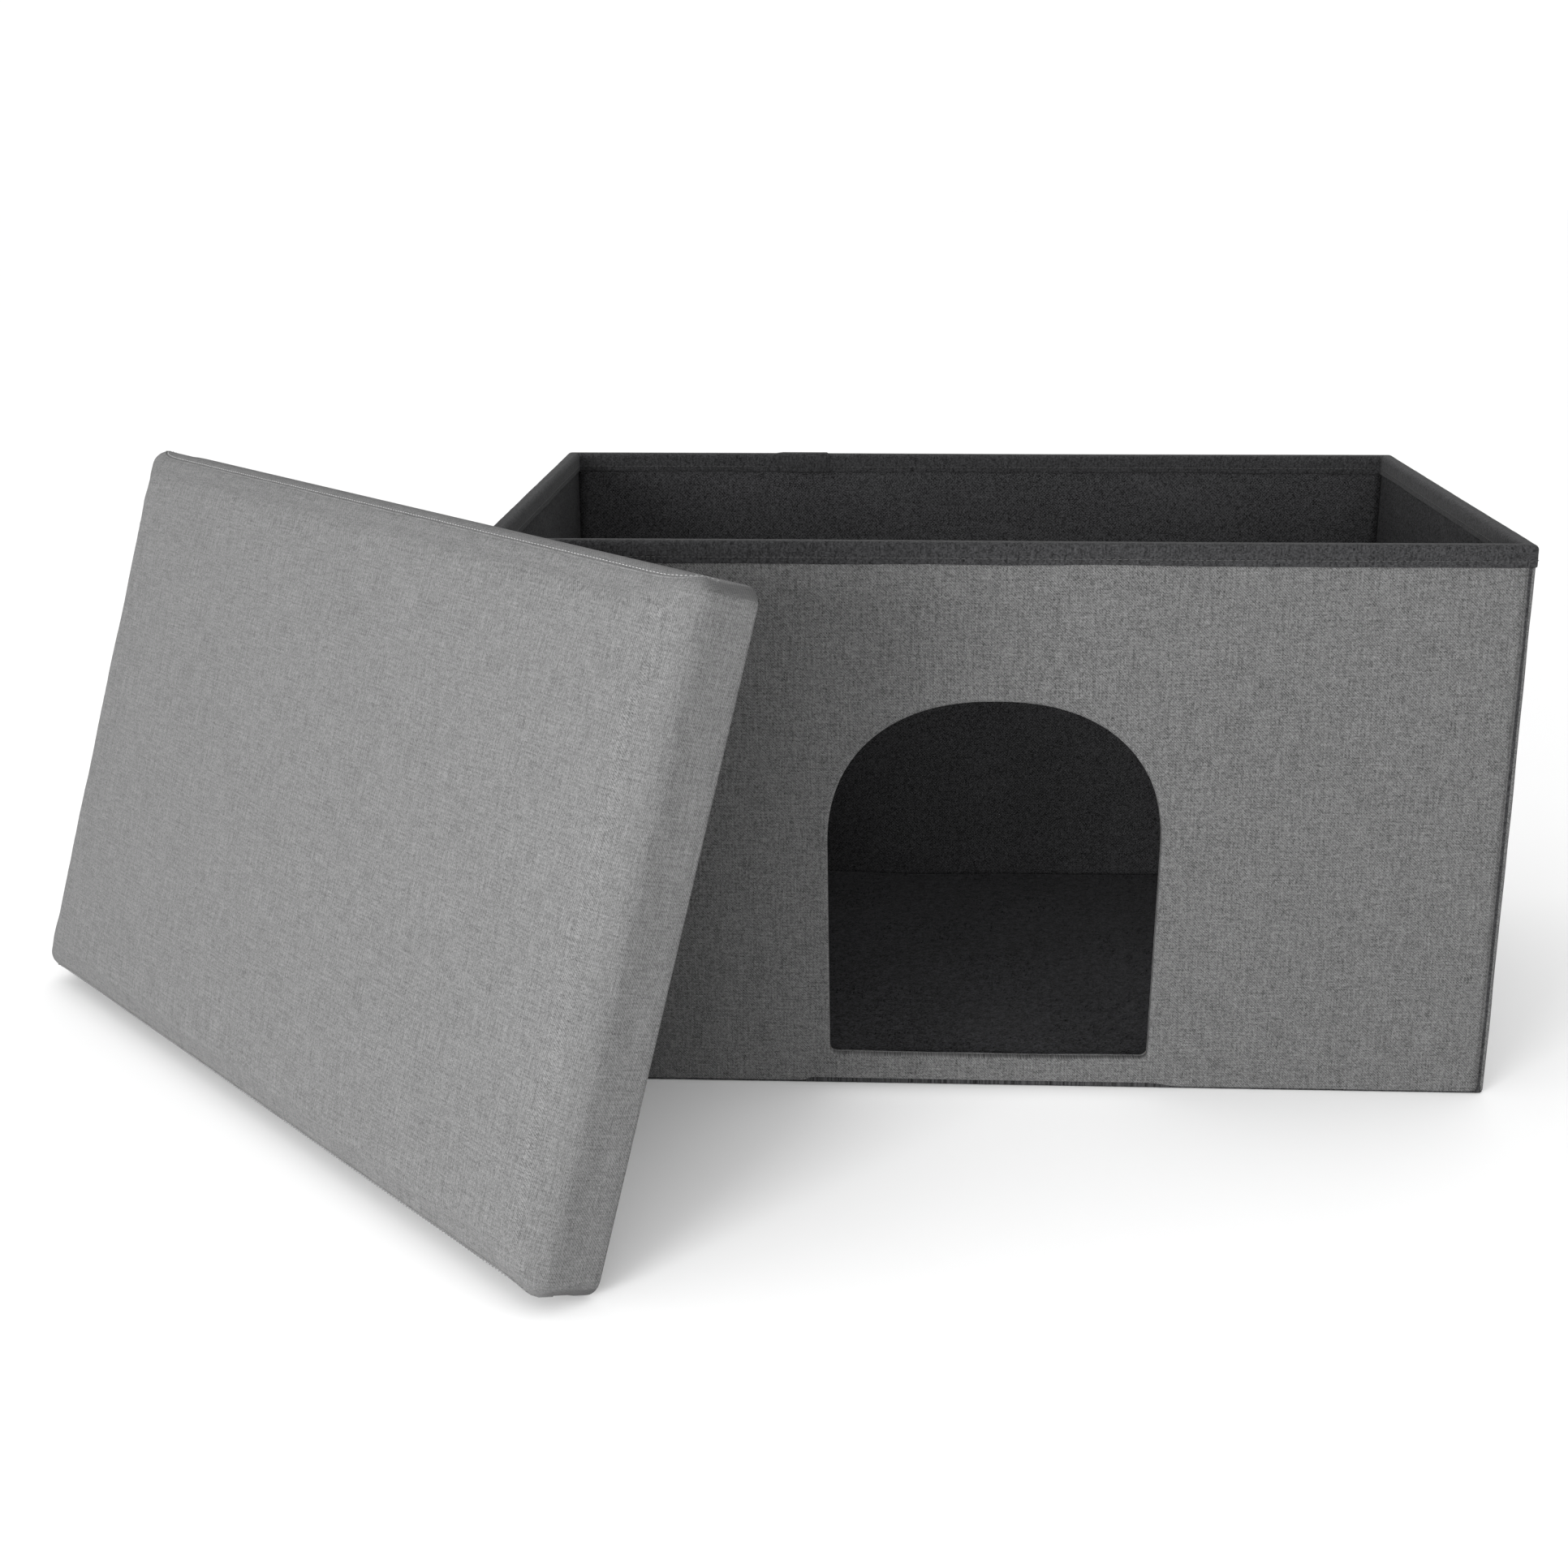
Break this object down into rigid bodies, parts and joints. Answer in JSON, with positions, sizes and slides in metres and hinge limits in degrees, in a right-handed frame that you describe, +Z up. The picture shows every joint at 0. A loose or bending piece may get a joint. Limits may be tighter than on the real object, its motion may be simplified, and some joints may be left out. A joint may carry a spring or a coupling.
{
  "type": "storage ottoman",
  "caption": "Folding fabric storage box with a bound rim, an arched doorway in the front wall, a fleece floor pad and a loose padded lid that leans on its front left corner.",
  "frame": {"origin": "centre of the box's underside, on the floor", "axes": "+X to the right along the width, +Y to the back, +Z up; the doorway is in the front wall, at -Y"},
  "size_m": [1.0374, 0.7134, 0.3944],
  "materials": {
    "linen_cloth": "matte",
    "lining_cloth": "matte",
    "binding_tape": "matte",
    "fleece": "matte",
    "fibreboard": "matte",
    "foam": "matte",
    "steel_wire": "satin",
    "lid_cloth": "matte"
  },
  "bodies": {
    "box": {"front_board": "fibreboard", "back_board": "fibreboard", "left_front_board": "fibreboard", "left_rear_board": "fibreboard", "right_front_board": "fibreboard", "right_rear_board": "fibreboard", "front_cover": "linen_cloth", "back_cover": "linen_cloth", "left_cover": "linen_cloth", "right_cover": "linen_cloth", "front_lining": "lining_cloth", "back_lining": "lining_cloth", "left_lining": "lining_cloth", "right_lining": "lining_cloth", "rim_binding": "binding_tape", "doorway_hem": "linen_cloth", "corner_seams": "binding_tape", "bottom_cloth": "lining_cloth"},
    "base_board": {"base_board_core": "fibreboard", "base_board_wrap": "lining_cloth"},
    "floor_pad": {"pad_foam": "foam", "pad_cover": "fleece"},
    "lid": {"lid_board": "fibreboard", "lid_foam": "foam", "lid_cover": "lid_cloth", "lid_underside": "lining_cloth", "lid_staples": "steel_wire"}
  },
  "joints": [
    {"name": "lid_tip", "type": "hinge", "parent": "box", "child": "lid", "pos_m": [-0.2405, -0.50072, 0.02601], "axis": [0.6871, -0.7266, 0], "range_deg": [0, 107.9]},
    {"name": "base_board_lift", "type": "slide", "parent": "box", "child": "base_board", "axis": [0, 0, 1], "range_m": [0, 0.42]},
    {"name": "pad_lift", "type": "slide", "parent": "base_board", "child": "floor_pad", "axis": [0, 0, 1], "range_m": [0, 0.42]}
  ]
}
